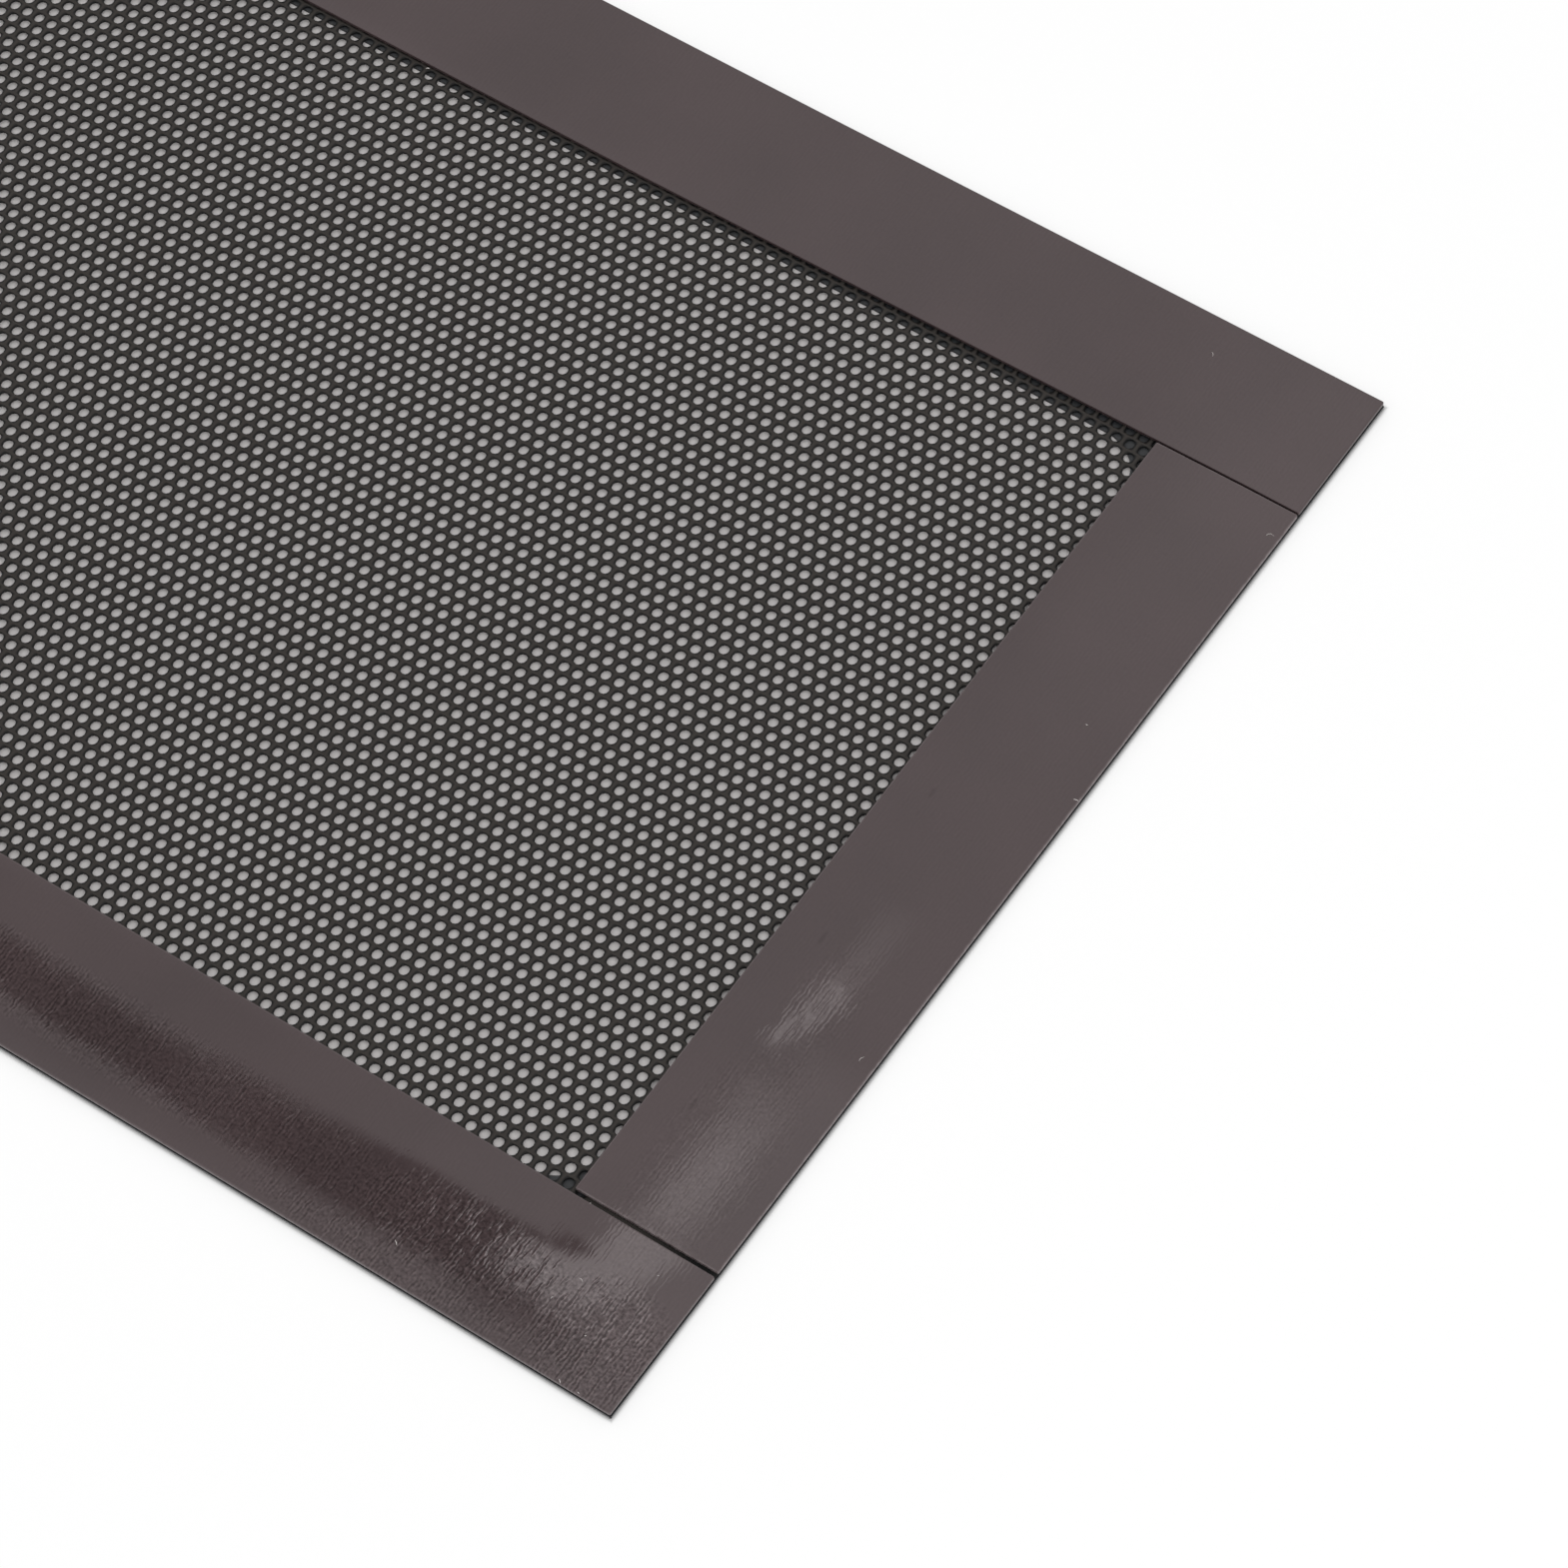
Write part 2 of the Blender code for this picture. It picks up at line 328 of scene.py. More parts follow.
# In a Mix node for colours, sockets 6 and 7 are the two colours, and output 2 is the result.
colours = {0: ragged_edge_highlight, 6: brown_with_painted_sheen, 7: linear("#6e6465")}
brown_with_edge_highlight = add_node(tree, "ShaderNodeMix", colours, data_type="RGBA").outputs[2]
print("clouds", CLOUD_SIZE / MM, "mm wide, tears", TEAR_SIZE / MM, "mm")

# %% Material of the strips
SMOOTHEST, ROUGHEST = 0.040, 0.055
FULL_SPECULAR = 0.5

ends = {"From Min": CLOUD_RANGE[0], "From Max": CLOUD_RANGE[1], "To Min": SMOOTHEST, "To Max": ROUGHEST}
roughness = add_node(tree, "ShaderNodeMapRange", {"Value": clouds, **ends}).outputs["Result"]
level = {0: sheen_and_scuffs, 1: FULL_SPECULAR}
rubber = add_node(
    tree,
    "ShaderNodeBsdfPrincipled",
    {
        "Base Color": brown_with_edge_highlight,
        "Roughness": roughness,
        "IOR": 1.60,
        "Specular IOR Level": add_node(tree, "ShaderNodeMath", level, operation="MULTIPLY").outputs["Value"],
        "Specular Tint": linear("#fff6f7"),
        "Normal": normal,
    },
)
tree.links.new(rubber.outputs["BSDF"], output.inputs["Surface"])
print("made", calendered_rubber_magnet.name)

# %% [markdown]
# ## The four magnet strips and their tapes
#
# Each strip is cut from rolled sheet, so its cut edges are slightly rounded, and its face
# isn't flat: it swells and dips by a few hundredths of a millimetre, which bends the lamps'
# reflections. The strips were laid by hand, so the inner edges of two of them lean by half a
# millimetre. A box with a Bevel modifier gives the edges but not the swells. Here one
# function of two parameters gives all of it: a grid over the plan, dense at the edges, whose
# height falls off at the rim and waves elsewhere. The tape under a strip is a thinner slab
# of the same kind, so it leans with its strip.

# %% Sizes of the strips
CORNER_RADIUS = 0.15 * MM
EDGE_ROUNDING = 0.10 * MM
TAPE_ROUNDING = 0.01 * MM
STRIP_STEP = 1.0 * MM
TAPE_STEP = 4.0 * MM
RIM_STEPS = np.array([0.0, 0.012, 0.03, 0.06, 0.10, 0.16, 0.30]) * MM


# %% Stations of the grid
def stations(low, high, step):
    """Places from low to high: a few close to each end, and equal steps between."""
    middle = np.linspace(low + RIM_STEPS[-1], high - RIM_STEPS[-1], round((high - low) / step))
    return np.concatenate([low + RIM_STEPS[:-1], middle, high - RIM_STEPS[-2::-1]])


def rim_distance(x, y, low, high):
    """How far inside a round-cornered rectangle a point is: radius less the distance to its core."""
    out_x = np.abs(x - (low[0] + high[0]) / 2) - ((high[0] - low[0]) / 2 - CORNER_RADIUS)
    out_y = np.abs(y - (low[1] + high[1]) / 2) - ((high[1] - low[1]) / 2 - CORNER_RADIUS)
    corner = np.hypot(np.maximum(out_x, 0), np.maximum(out_y, 0))
    return np.maximum(CORNER_RADIUS - corner - np.minimum(np.maximum(out_x, out_y), 0), 0)


print("stations across 15 mm:", len(stations(0, 15 * MM, STRIP_STEP)))


# %% Swells and leans
LEAN_SLOPE = 0.0115
LEAN_START = 60 * MM
LEAN_LEAST, LEAN_MOST = -0.12 * MM, 0.62 * MM
END_LEAN = 0.25 * MM
LEANING_LENGTH = 84 * MM
END_OVERHANG = 0.21 * MM
LONG_OVERHANG = 0.08 * MM
FAR_OVERHANG_SLOPE = 0.0025
# Three slow waves of the face: depth, length over two pi, then how far and over what length
# another wave bends it. The third runs slantwise and isn't bent.
ALONG_DEPTH, ALONG_LENGTH, ALONG_BEND, ALONG_BEND_LENGTH = 0.010 * MM, 9.0 * MM, 1.3, 17.0 * MM
ACROSS_DEPTH, ACROSS_LENGTH, ACROSS_BEND, ACROSS_BEND_LENGTH = 0.008 * MM, 5.5 * MM, 0.8, 23.0 * MM
ACROSS_START = 0.6
SLANT_DEPTH, SLANT_LENGTH, SLANT = 0.012 * MM, 15.0 * MM, 0.7


def swell(x, y):
    """Depth of the rolled face below its highest level: three slow waves added, never below zero."""
    along = 0.5 + 0.5 * np.sin(x / ALONG_LENGTH + ALONG_BEND * np.sin(y / ALONG_BEND_LENGTH))
    bent = ACROSS_BEND * np.sin(x / ACROSS_BEND_LENGTH)
    across = 0.5 + 0.5 * np.sin(y / ACROSS_LENGTH + bent + ACROSS_START)
    slant = 0.5 + 0.5 * np.sin((x + SLANT * y) / SLANT_LENGTH)
    return ALONG_DEPTH * along + ACROSS_DEPTH * across + SLANT_DEPTH * slant


def leaned(side, x, y):
    """Moves the long edges a little: a shift is full at its edge, and falls evenly to none at the other."""
    low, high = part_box(f"magnet_strip_{side}")
    far_shift = np.clip(LEAN_SLOPE * (x - LEAN_START), LEAN_LEAST, LEAN_MOST)
    if side == "near":
        y = y - LONG_OVERHANG * (high[1] - y) / (high[1] - low[1])
    if side == "far":
        share = (y - low[1]) / (high[1] - low[1])
        overhang = np.clip(FAR_OVERHANG_SLOPE * (x - LEAN_START), 0, LONG_OVERHANG)
        y = y + far_shift * (1 - share) + overhang * share
    if side == "right":
        towards_near = np.clip(0.5 - y / LEANING_LENGTH, 0, 1)
        share = (x - low[0]) / (high[0] - low[0])
        x = x + END_LEAN * towards_near * (1 - share) + END_OVERHANG * share
        y = y + far_shift * (y - low[1]) / (high[1] - low[1])
    return x, y


print("face of the strips swells by up to", (ALONG_DEPTH + ACROSS_DEPTH + SLANT_DEPTH) / MM, "mm")

# %% One slab
FACE_DROP = 0.04 * MM
EDGE_HIGHLIGHT_WIDTH = 0.14 * MM
SHARP_EDGE_ANGLE = math.radians(50)
# How strong the painted highlight along the rim of each strip is.
EDGE_HIGHLIGHT_STRENGTH = {"far": 0.0, "near": 0.45, "left": 0.45, "right": 1.0}


def grid_faces(rows, columns, start=0):
    """The quads of a grid of vertices that is stored row by row, counted from start."""
    corner = np.arange(rows - 1)[:, None] * columns + np.arange(columns - 1)[None, :]
    quads = np.stack([corner, corner + 1, corner + columns + 1, corner + columns], axis=-1)
    return quads.reshape(-1, 4) + start


def border_loop(rows, columns):
    """Vertex numbers once round the edge of a grid, starting along its first row."""
    numbers = np.arange(rows * columns).reshape(rows, columns)
    return np.concatenate([numbers[0, :-1], numbers[:-1, -1], numbers[-1, :0:-1], numbers[:0:-1, 0]])


def slab(name, side, node, step, rounding, depth, material):
    """A closed slab in the node's box: a round-edged face that lies depth below its top, a flat
    underside, and a wall between. The rounding is a quarter circle of the rim distance."""
    low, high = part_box(node)
    x_places, y_places = stations(low[0], high[0], step), stations(low[1], high[1], step)
    x, y = np.meshgrid(x_places, y_places)
    inset = np.minimum(x - low[0], high[0] - x).clip(0, CORNER_RADIUS)
    inset = CORNER_RADIUS - np.sqrt(CORNER_RADIUS**2 - (CORNER_RADIUS - inset) ** 2)
    middle, half = (low[1] + high[1]) / 2, (high[1] - low[1]) / 2
    y = middle + (y - middle) * (half - inset) / half
    rim = rim_distance(x, y, low, high)
    inside = (rim / rounding).clip(0, 1)
    fall = rounding * (1 - np.sqrt(1 - (1 - inside) ** 2))
    z = high[2] - depth(x, y) - fall
    x, y = leaned(side, x, y)
    face = np.stack([x, y, z], axis=-1).reshape(-1, 3)
    under = face.copy()
    under[:, 2] = low[2]
    rows, columns = x.shape
    loop = border_loop(rows, columns)
    following = np.roll(loop, -1)
    count = rows * columns
    wall = np.stack([loop + count, following + count, following, loop], axis=-1)
    groups = [grid_faces(rows, columns), grid_faces(rows, columns, count)[:, ::-1], wall]
    made = piece_from_arrays(name, np.concatenate([face, under]), groups, material)
    made.data.shade_smooth()
    made.data.set_sharp_from_angle(angle=SHARP_EDGE_ANGLE)
    # Painted highlight along the rim, at the strength given for the strip's side.
    edge_highlight_share = EDGE_HIGHLIGHT_STRENGTH[side] * (1 - rim / EDGE_HIGHLIGHT_WIDTH).clip(0, 1).ravel()
    painted_edge_highlight = np.tile(edge_highlight_share, 2).astype(np.float32)
    made.data.attributes.new("painted_edge_highlight", "FLOAT", "POINT").data.foreach_set("value", painted_edge_highlight)
    return made


# %% All four strips
def strip_depth(x, y):
    """The strip's face lies a little below the top of its space, and waves below that."""
    return FACE_DROP + swell(x, y)


SIDES = ("far", "near", "left", "right")
for side in SIDES:
    node = f"magnet_strip_{side}"
    strip = slab(
        f"strip_{side}", side, node, STRIP_STEP, EDGE_ROUNDING, strip_depth, calendered_rubber_magnet
    )
    dress(strip, "rubber_magnet", node)
    print(strip.name, "has", len(strip.data.polygons), "faces")

# %% [markdown]
# ## Tape under the strips
#
# The tape is black acrylic foam, which is cut with the strip. It is seen only as the thin
# dark line between the film and the strips, so it needs little more than its foam cells.

# %% Material of the tape
CELL_SIZE = 0.12 * MM

acrylic_foam_tape, tree, output = new_material("acrylic_foam_tape")
place = add_node(tree, "ShaderNodeTexCoord").outputs["Object"]
cells = add_node(tree, "ShaderNodeTexVoronoi", {"Vector": place, "Scale": 1 / CELL_SIZE}).outputs["Distance"]
tone = add_node(tree, "ShaderNodeValToRGB", {"Fac": cells})
tone.color_ramp.elements[0].color = linear("#141313")
tone.color_ramp.elements[1].color = linear("#1e1c1c")
foam = add_node(tree, "ShaderNodeBsdfPrincipled", {"Base Color": tone.outputs["Color"], "Roughness": 0.6})
tree.links.new(foam.outputs["BSDF"], output.inputs["Surface"])
print("made", acrylic_foam_tape.name)


# %% All four tapes
def no_depth(x, y):
    """The tape's face is flat, at the top of its space."""
    return np.zeros_like(x)


for side in SIDES:
    node = f"adhesive_tape_{side}"
    tape = slab(f"tape_{side}", side, node, TAPE_STEP, TAPE_ROUNDING, no_depth, acrylic_foam_tape)
    dress(tape, "adhesive_tape", node)
    print(tape.name, "has", len(tape.data.polygons), "faces")

# %% [markdown]
# ## Perforated vinyl film
#
# The film is satin black vinyl with staggered rows of holes, each about a millimetre wide. It
# was stretched a little across its rows, so the holes are slightly oval. They could come from
# a picture with transparency, but then they would have no thickness, and from the side the
# film would look painted. Ten thousand boolean cuts would take too long. Instead the sheet is
# laid out like a brick wall: each brick is one cell, six points round it and twelve round its
# hole, and the bricks of one row share their points with the next. Twelve sides are enough at
# this size. The sheet is divided into four bands of rows, so that no piece has too many faces.

# %% Material of the film
PVC_GRAIN = 0.25 * MM
GRAIN_DEPTH = 0.001 * MM
FILM_CLOUD_SIZE = 20 * MM
# Painted shade: the film darkens towards the rim of each hole and along its outer edge, from
# the first share of the way to the second.
RIM_SHADE_RANGE = (0.40, 0.85)
SATIN_RANGE = (0.50, 0.58)

satin_perforated_vinyl, tree, output = new_material("satin_perforated_vinyl")
place = add_node(tree, "ShaderNodeTexCoord").outputs["Object"]
grain_scale = {"Vector": place, "Scale": 1 / PVC_GRAIN, "Detail": 2.0}
grain = add_node(tree, "ShaderNodeTexNoise", grain_scale).outputs["Fac"]
cloud_scale = {"Vector": place, "Scale": 1 / FILM_CLOUD_SIZE, "Detail": 2.0}
clouds = add_node(tree, "ShaderNodeTexNoise", cloud_scale).outputs["Fac"]
ends = {"From Min": CLOUD_RANGE[0], "From Max": CLOUD_RANGE[1]}
ends.update({"To Min": SATIN_RANGE[0], "To Max": SATIN_RANGE[1]})
roughness = add_node(tree, "ShaderNodeMapRange", {"Value": clouds, **ends}).outputs["Result"]
rim = add_node(tree, "ShaderNodeAttribute", attribute_name="rim").outputs["Fac"]
rim_shade = add_node(tree, "ShaderNodeValToRGB", {"Fac": rim})
rim_shade.color_ramp.elements[0].position = RIM_SHADE_RANGE[0]
rim_shade.color_ramp.elements[0].color = linear("#302c29")
rim_shade.color_ramp.elements[1].position = RIM_SHADE_RANGE[1]
rim_shade.color_ramp.elements[1].color = linear("#090909")
grained = add_node(tree, "ShaderNodeBump", {"Height": grain, "Distance": GRAIN_DEPTH}).outputs["Normal"]
vinyl = add_node(
    tree,
    "ShaderNodeBsdfPrincipled",
    {
        "Base Color": rim_shade.outputs["Color"],
        "Roughness": roughness,
        "IOR": 1.45,
        "Specular IOR Level": 0.25,
        "Normal": grained,
    },
)
tree.links.new(vinyl.outputs["BSDF"], output.inputs["Surface"])
print("made", satin_perforated_vinyl.name)

# %% Lattice of the holes
HOLE_PITCH = 1.4354 * MM
ROW_SPACING = 1.3001 * MM
HOLE_HALF_WIDTH, HOLE_HALF_LENGTH = 0.482 * MM, 0.535 * MM
HOLE_SIDES = 12
RIM_TOLERANCE = 0.001 * MM
LATTICE_X = 71.611 * MM
LATTICE_Y = -7.902 * MM
FIRST_ROW, LAST_ROW = -28, 41
FIRST_HOLE, LAST_HOLE = -124, 24
BAND_COUNT = 4

film_low, film_high = (np.array(corner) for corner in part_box("perforated_film"))
half_steps = 2 * (LAST_HOLE - FIRST_HOLE + 1)
line_x = LATTICE_X + (FIRST_HOLE - 0.5 + np.arange(half_steps + 1) / 2) * HOLE_PITCH
line_x = np.concatenate([[film_low[0]], line_x, [film_high[0]]])
print("holes in a row:", LAST_HOLE - FIRST_HOLE + 1, "rows:", LAST_ROW - FIRST_ROW + 1)


# %% One band of the film
def cell_corners(first_line, even, columns):
    """The six points round each hole of a row, from the upper right corner and anticlockwise."""
    start = 1 if even else 2
    cells = (columns - 3) // 2 - (0 if even else 1)
    left = start + 2 * np.arange(cells)
    lower, upper = first_line * columns, (first_line + 1) * columns
    offsets = [(upper, 2), (upper, 1), (upper, 0), (lower, 0), (lower, 1), (lower, 2)]
    return np.stack([line + left + step for line, step in offsets], axis=-1)


def stitched(cells, rings):
    """Triangles between six corners and a ring of twelve points. Each corner takes two edges of the
    ring, and each edge between two corners takes the point of the ring that they share."""
    triangles = []
    for corner in range(6):
        first = 2 * corner
        for edge in (first, first + 1):
            following = (edge + 1) % HOLE_SIDES
            triangles.append(np.stack([rings[:, edge], cells[:, corner], rings[:, following]], axis=-1))
        following, shared = (corner + 1) % 6, (first + 2) % HOLE_SIDES
        triangles.append(np.stack([cells[:, corner], cells[:, following], rings[:, shared]], axis=-1))
    return np.concatenate(triangles)


def film_band(number, first_row, last_row):
    """Rows of staggered holes: a plain grid of points along the rows, and a ring of points a hole."""
    row_numbers = np.arange(first_row, last_row + 1)
    line_y = LATTICE_Y + (np.arange(first_row, last_row + 2) - 0.5) * ROW_SPACING
    plain_below, plain_above = first_row == FIRST_ROW, last_row == LAST_ROW
    if plain_below:
        line_y = np.concatenate([[film_low[1]], line_y])
    if plain_above:
        line_y = np.concatenate([line_y, [film_high[1]]])
    columns, lines = len(line_x), len(line_y)
    x, y = np.meshgrid(line_x, line_y)
    grid = np.stack([x.ravel(), y.ravel()], axis=-1)
    quads = grid_faces(lines, columns).reshape(lines - 1, columns - 1, 4)
    solid = [quads[:, 0], quads[:, -1]]
    if plain_below:
        solid.append(quads[0, 1:-1])
    if plain_above:
        solid.append(quads[-1, 1:-1])
    cells = []
    for offset, row in enumerate(row_numbers):
        line = offset + (1 if plain_below else 0)
        even = row % 2 == 0
        cells.append(cell_corners(line, even, columns))
        if not even:
            solid += [quads[line, 1:2], quads[line, -2:-1]]
    cells, solid = np.concatenate(cells), np.concatenate(solid)
    centres = (grid[cells[:, 1]] + grid[cells[:, 4]]) / 2
    angles = np.arange(HOLE_SIDES) * 2 * math.pi / HOLE_SIDES
    oval = np.stack([HOLE_HALF_WIDTH * np.cos(angles), HOLE_HALF_LENGTH * np.sin(angles)], axis=-1)
    ring_points = (centres[:, None, :] + oval[None, :, :]).reshape(-1, 2)
    rings = len(grid) + np.arange(len(ring_points)).reshape(-1, HOLE_SIDES)
    flat = np.concatenate([grid, ring_points])
    count = len(flat)
    upper_face = np.column_stack([flat, np.full(count, film_high[2])])
    lower_face = np.column_stack([flat, np.full(count, film_low[2])])
    triangles = stitched(cells, rings)
    turned = np.roll(rings, -1, axis=1)
    hole_walls = np.stack([rings, turned, turned + count, rings + count], axis=-1).reshape(-1, 4)
    loop = border_loop(lines, columns)
    following = np.roll(loop, -1)
    edge_wall = np.stack([loop + count, following + count, following, loop], axis=-1)
    groups = [triangles, triangles[:, ::-1] + count, solid, solid[:, ::-1] + count, hole_walls, edge_wall]
    band = piece_from_arrays(
        f"film_band_{number}", np.concatenate([upper_face, lower_face]), groups, satin_perforated_vinyl
    )
    # Painted shade: the rim attribute is 1 round every hole and along the film's outer edge.
    near_rim = (np.abs(flat) > film_high[:2] - RIM_TOLERANCE).any(axis=1).astype(np.float32)
    near_rim[len(grid) :] = 1.0
    band.data.attributes.new("rim", "FLOAT", "POINT").data.foreach_set("value", np.tile(near_rim, 2))
    dress(band, "perforated_film", "perforated_film")
    return band


# %% All bands
row_count = LAST_ROW - FIRST_ROW + 1
starts = [FIRST_ROW + round(row_count * part / BAND_COUNT) for part in range(BAND_COUNT + 1)]
bands = [film_band(part + 1, starts[part], starts[part + 1] - 1) for part in range(BAND_COUNT)]
for band in bands:
    triangle_count = sum(len(polygon.vertices) - 2 for polygon in band.data.polygons)
    print(band.name, "has", triangle_count, "triangles")

# %% [markdown]
# ## Border sheet
#
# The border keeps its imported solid, whose shape is right, and only gets its finish. It is
# matt vinyl sheet with a fine embossed grain. Stamping stretches vinyl where it cuts, and
# stretched vinyl turns pale, so the outer edge of the sheet shows as a thin grey line. It
# could be a thin extra piece, but a mask from the distance to the middle does it as well.


# %% How far past a rectangle
def past_rectangle(place, reach_x, reach_y):
    """How far a place lies past these distances from the middle: the size of x less the reach along
    X, or the size of y less the reach along Y, whichever is more. Inside it is negative."""
    parts = add_node(tree, "ShaderNodeSeparateXYZ", {"Vector": place})
    past = []
    for axis, reach in (("X", reach_x), ("Y", reach_y)):
        size = add_node(tree, "ShaderNodeMath", {0: parts.outputs[axis]}, operation="ABSOLUTE")
        less = {0: size.outputs["Value"], 1: reach}
        past.append(add_node(tree, "ShaderNodeMath", less, operation="SUBTRACT").outputs["Value"])
    return add_node(tree, "ShaderNodeMath", {0: past[0], 1: past[1]}, operation="MAXIMUM").outputs["Value"]


# %% Material of the border
EMBOSSING, EMBOSSING_DEPTH = 0.35 * MM, 0.004 * MM
WHITENED_WIDTH = 0.005 * MM

embossed_vinyl, tree, output = new_material("embossed_vinyl")
place = add_node(tree, "ShaderNodeTexCoord").outputs["Object"]
grain_scale = {"Vector": place, "Scale": 1 / EMBOSSING, "Detail": 3.0}
grain = add_node(tree, "ShaderNodeTexNoise", grain_scale).outputs["Fac"]
tone = add_node(tree, "ShaderNodeValToRGB", {"Fac": grain})
tone.color_ramp.elements[0].position = CLOUD_RANGE[0]
tone.color_ramp.elements[0].color = linear("#1d1f22")
tone.color_ramp.elements[1].position = CLOUD_RANGE[1]
tone.color_ramp.elements[1].color = linear("#26282b")
past = past_rectangle(place, packed_high[0] - WHITENED_WIDTH, packed_high[1] - WHITENED_WIDTH)
stamped = add_node(tree, "ShaderNodeMath", {0: past, 1: 0.0}, operation="GREATER_THAN").outputs["Value"]
colours = {0: stamped, 6: tone.outputs["Color"], 7: linear("#757576")}
whitened = add_node(tree, "ShaderNodeMix", colours, data_type="RGBA").outputs[2]
bumped = add_node(tree, "ShaderNodeBump", {"Height": grain, "Distance": EMBOSSING_DEPTH}).outputs["Normal"]
finish = {"Base Color": whitened, "Roughness": 0.55, "IOR": 1.5, "Normal": bumped}
sheet = add_node(tree, "ShaderNodeBsdfPrincipled", finish)
tree.links.new(sheet.outputs["BSDF"], output.inputs["Surface"])

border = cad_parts["front_border"]
border.data.materials.clear()
border.data.materials.append(embossed_vinyl)
print("finished", border.name)

# %% [markdown]
# ## Lint
#
# Rubber magnet holds lint, and a few short white fibres lie on the strips and in the joint.
# They could be particles, but fifteen places are simpler to write down. Each fibre is a thin
# tube carried along a shallow arc. It tapers towards its ends, and a small face closes each.

# %% Material of the lint
FLUFF_SIZE = 0.2 * MM

cotton_fibre, tree, output = new_material("cotton_fibre")
place = add_node(tree, "ShaderNodeTexCoord").outputs["Object"]
fluff = add_node(tree, "ShaderNodeTexNoise", {"Vector": place, "Scale": 1 / FLUFF_SIZE}).outputs["Fac"]
tone = add_node(tree, "ShaderNodeValToRGB", {"Fac": fluff})
tone.color_ramp.elements[0].color = linear("#c9c0bd")
tone.color_ramp.elements[1].color = linear("#f2efec")
fibre = add_node(tree, "ShaderNodeBsdfPrincipled", {"Base Color": tone.outputs["Color"], "Roughness": 0.7})
tree.links.new(fibre.outputs["BSDF"], output.inputs["Surface"])
print("made", cotton_fibre.name)

# %% Fibres
# Middle x, y and z, length and width in millimetres, the direction in degrees from X, and the
# height of the arc as a share of the length.
FIBRES = [
    (110.9, -51.35, 0.965, 0.55, 0.035, -15, 0.22),
    (96.05, -56.90, 0.965, 0.55, 0.060, -38, 0.10),
    (114.2, -55.30, 0.965, 0.22, 0.060, 50, 0.10),
    (109.9, -53.95, 0.965, 0.30, 0.040, 60, 0.30),
    (116.0, -47.50, 0.965, 0.20, 0.040, 20, 0.10),
    (118.6, -21.40, 0.965, 0.60, 0.035, 78, 0.20),
    (119.1, 42.15, 0.965, 0.70, 0.035, 30, 0.35),
    (116.3, 16.80, 0.960, 0.20, 0.070, 0, 0.05),
    (104.25, 56.10, 0.965, 0.55, 0.040, -50, 0.15),
    (107.4, -45.20, 0.930, 0.50, 0.060, 80, 0.10),
    (113.2, -45.22, 0.900, 0.25, 0.060, 70, 0.10),
    (25.2, 44.50, 0.750, 0.35, 0.080, 30, 0.10),
    (119.70, 9.85, 0.950, 0.50, 0.060, 10, 0.10),
    (114.8, -59.82, 0.950, 0.40, 0.060, -40, 0.10),
    (116.7, -59.85, 0.940, 0.25, 0.060, -20, 0.10),
]
TUBE_SIDES, TUBE_STEPS = 5, 7
# The share of a fibre's cross-section that is gone at its tips.
TAPER = 0.96


def fibre_points(x, y, z, length, width, direction, arc):
    """Rings round a parabola. A ring's radius is half the width times the root of 1 less TAPER
    times the square of its share of the way from the middle to a tip."""
    along = np.linspace(-1, 1, TUBE_STEPS)
    centre = np.stack([along * length / 2, arc * length * (1 - along**2)], axis=-1)
    heading = np.stack([np.full(TUBE_STEPS, 1.0), -4 * arc * along], axis=-1)
    aside = np.stack([-heading[:, 1], heading[:, 0]], axis=-1) / np.hypot(*heading.T)[:, None]
    radius = width / 2 * np.sqrt(1.0 - TAPER * along**2)
    angle = np.arange(TUBE_SIDES) * 2 * math.pi / TUBE_SIDES
    flat = centre[:, None, :] + aside[:, None, :] * (radius[:, None] * np.cos(angle))[:, :, None]
    height = z + radius[:, None] * np.sin(angle)
    turn = math.radians(direction)
    turned_x = x + flat[..., 0] * math.cos(turn) - flat[..., 1] * math.sin(turn)
    turned_y = y + flat[..., 0] * math.sin(turn) + flat[..., 1] * math.cos(turn)
    return np.stack([turned_x, turned_y, height], axis=-1).reshape(-1, 3) * MM


ring = np.arange(TUBE_SIDES)
ring_next = np.roll(ring, -1)
step = np.arange(TUBE_STEPS - 1)[:, None] * TUBE_SIDES
side_corners = [step + ring, step + ring + TUBE_SIDES, step + ring_next + TUBE_SIDES, step + ring_next]
side_faces = np.stack(side_corners, axis=-1).reshape(-1, 4)
ends = np.array([ring, ring[::-1] + (TUBE_STEPS - 1) * TUBE_SIDES])
starts = np.arange(len(FIBRES))[:, None, None] * TUBE_SIDES * TUBE_STEPS
lint = piece_from_arrays(
    "lint",
    np.concatenate([fibre_points(*row) for row in FIBRES]),
    [(side_faces + starts).reshape(-1, 4), (ends + starts).reshape(-1, TUBE_SIDES)],
    cotton_fibre,
)
lint.data.shade_smooth()
dress(lint, "rubber_magnet")
print("fibres:", len(FIBRES), "faces:", len(lint.data.polygons))

# %% [markdown]
# ## Floor, light and cards
#
# Small goods like this are photographed on white, under large soft lamps that surround
# them. An evenly white world does the same, and one soft lamp on the right adds a little
# direction. Glossy rubber shows what is above it, so a photographer places cards: a black
# one draws a dark line along a face, and a lit one a pale sheen. Here the cards are seen
# by reflections alone. Where they go follows from the mirror rule: the line from the camera
# to a spot on the face goes on upwards at the same angle, and the card is placed on it.

# %% Paper of the floor
PAPER_GRAIN = 10 * MM / 9
CONTACT_WIDTH = 0.30 * MM
LIFT_FROM, LIFT_TO = 0.15 * MM, 0.50 * MM
FLOOR_LIFT = 0.6
WHITE = linear("#ffffff")

